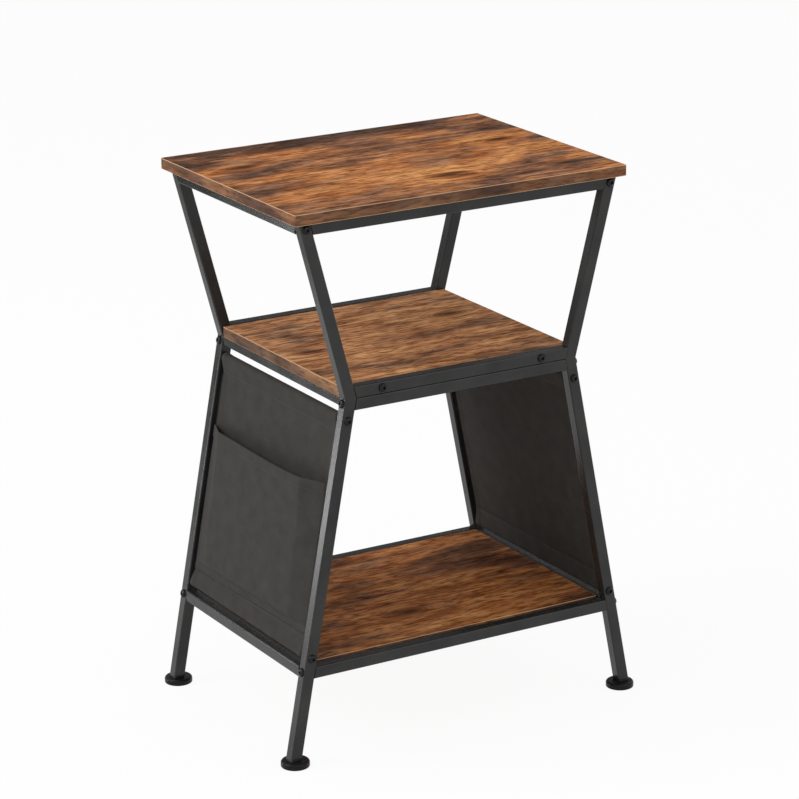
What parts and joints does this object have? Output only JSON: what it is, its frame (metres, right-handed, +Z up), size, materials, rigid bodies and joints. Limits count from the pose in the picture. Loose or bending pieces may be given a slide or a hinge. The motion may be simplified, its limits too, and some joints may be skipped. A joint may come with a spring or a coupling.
{
  "type": "side table",
  "caption": "Small side table: wood-print boards on a black square-tube frame drawn in at the waist, with grey cloth side panels and pockets and round screw feet.",
  "frame": {"origin": "on the floor, in the middle between the feet", "axes": "+X along the wide side of the top, to the right seen from the front; -Y is the front; +Z up"},
  "size_m": [0.4436, 0.304, 0.6],
  "materials": {
    "board": "satin",
    "frame_tube": "matte",
    "fastener": "satin",
    "inner_hardware": "satin",
    "cloth": "matte",
    "foot_plastic": "satin"
  },
  "bodies": {
    "frame": {"top_board": "board", "middle_shelf": "board", "bottom_shelf": "board", "upper_leg_front_left": "frame_tube", "lower_leg_front_left": "frame_tube", "leg_end_plug_front_left": "inner_hardware", "upper_leg_front_right": "frame_tube", "lower_leg_front_right": "frame_tube", "leg_end_plug_front_right": "inner_hardware", "upper_leg_back_left": "frame_tube", "lower_leg_back_left": "frame_tube", "leg_end_plug_back_left": "inner_hardware", "upper_leg_back_right": "frame_tube", "lower_leg_back_right": "frame_tube", "leg_end_plug_back_right": "inner_hardware", "top_rail_front": "frame_tube", "waist_rail_front": "frame_tube", "waist_beam_front": "frame_tube", "base_rail_front": "frame_tube", "top_rail_back": "frame_tube", "waist_rail_back": "frame_tube", "waist_beam_back": "frame_tube", "base_rail_back": "frame_tube", "top_rail_left": "frame_tube", "waist_side_rail_left": "frame_tube", "base_rail_left": "frame_tube", "side_panel_left": "cloth", "side_pocket_left": "cloth", "panel_rod_top_left": "frame_tube", "panel_rod_bottom_left": "frame_tube", "top_rail_right": "frame_tube", "waist_side_rail_right": "frame_tube", "base_rail_right": "frame_tube", "side_panel_right": "cloth", "side_pocket_right": "cloth", "panel_rod_top_right": "frame_tube", "panel_rod_bottom_right": "frame_tube", "top_rail_bolts": "fastener", "waist_beam_bolts": "fastener", "base_rail_bolts": "fastener", "panel_rod_bolts": "fastener", "middle_shelf_screws": "fastener", "frame_joining_bolts": "fastener", "top_board_screws": "fastener", "bottom_shelf_screws": "fastener", "bottom_shelf_tabs": "frame_tube", "weld_nuts": "inner_hardware", "top_rail_end_nuts": "inner_hardware", "waist_beam_end_nuts": "inner_hardware", "base_rail_end_nuts": "inner_hardware"},
    "foot_stem_front_left": {"foot_stem_front_left": "inner_hardware"},
    "foot_pad_front_left": {"foot_pad_front_left": "foot_plastic"},
    "foot_stem_front_right": {"foot_stem_front_right": "inner_hardware"},
    "foot_pad_front_right": {"foot_pad_front_right": "foot_plastic"},
    "foot_stem_back_left": {"foot_stem_back_left": "inner_hardware"},
    "foot_pad_back_left": {"foot_pad_back_left": "foot_plastic"},
    "foot_stem_back_right": {"foot_stem_back_right": "inner_hardware"},
    "foot_pad_back_right": {"foot_pad_back_right": "foot_plastic"}
  },
  "joints": [
    {"name": "foot_lift_front_left", "type": "slide", "parent": "frame", "child": "foot_stem_front_left", "axis": [0, 0, -1], "range_m": [0, 0.01]},
    {"name": "foot_turn_front_left", "type": "hinge", "parent": "foot_stem_front_left", "child": "foot_pad_front_left", "pos_m": [-0.20631, -0.1365, 0.0035], "axis": [0, 0, -1], "range_deg": [0, 3600]},
    {"name": "foot_lift_front_right", "type": "slide", "parent": "frame", "child": "foot_stem_front_right", "axis": [0, 0, -1], "range_m": [0, 0.01]},
    {"name": "foot_turn_front_right", "type": "hinge", "parent": "foot_stem_front_right", "child": "foot_pad_front_right", "pos_m": [0.20631, -0.1365, 0.0035], "axis": [0, 0, -1], "range_deg": [0, 3600]},
    {"name": "foot_lift_back_left", "type": "slide", "parent": "frame", "child": "foot_stem_back_left", "axis": [0, 0, -1], "range_m": [0, 0.01]},
    {"name": "foot_turn_back_left", "type": "hinge", "parent": "foot_stem_back_left", "child": "foot_pad_back_left", "pos_m": [-0.20631, 0.1365, 0.0035], "axis": [0, 0, -1], "range_deg": [0, 3600]},
    {"name": "foot_lift_back_right", "type": "slide", "parent": "frame", "child": "foot_stem_back_right", "axis": [0, 0, -1], "range_m": [0, 0.01]},
    {"name": "foot_turn_back_right", "type": "hinge", "parent": "foot_stem_back_right", "child": "foot_pad_back_right", "pos_m": [0.20631, 0.1365, 0.0035], "axis": [0, 0, -1], "range_deg": [0, 3600]}
  ],
  "couplings": [
    {"joint": "foot_lift_front_left", "follows": "foot_turn_front_left", "m_per_rad": 0.00015915},
    {"joint": "foot_lift_front_right", "follows": "foot_turn_front_right", "m_per_rad": 0.00015915},
    {"joint": "foot_lift_back_left", "follows": "foot_turn_back_left", "m_per_rad": 0.00015915},
    {"joint": "foot_lift_back_right", "follows": "foot_turn_back_right", "m_per_rad": 0.00015915}
  ]
}
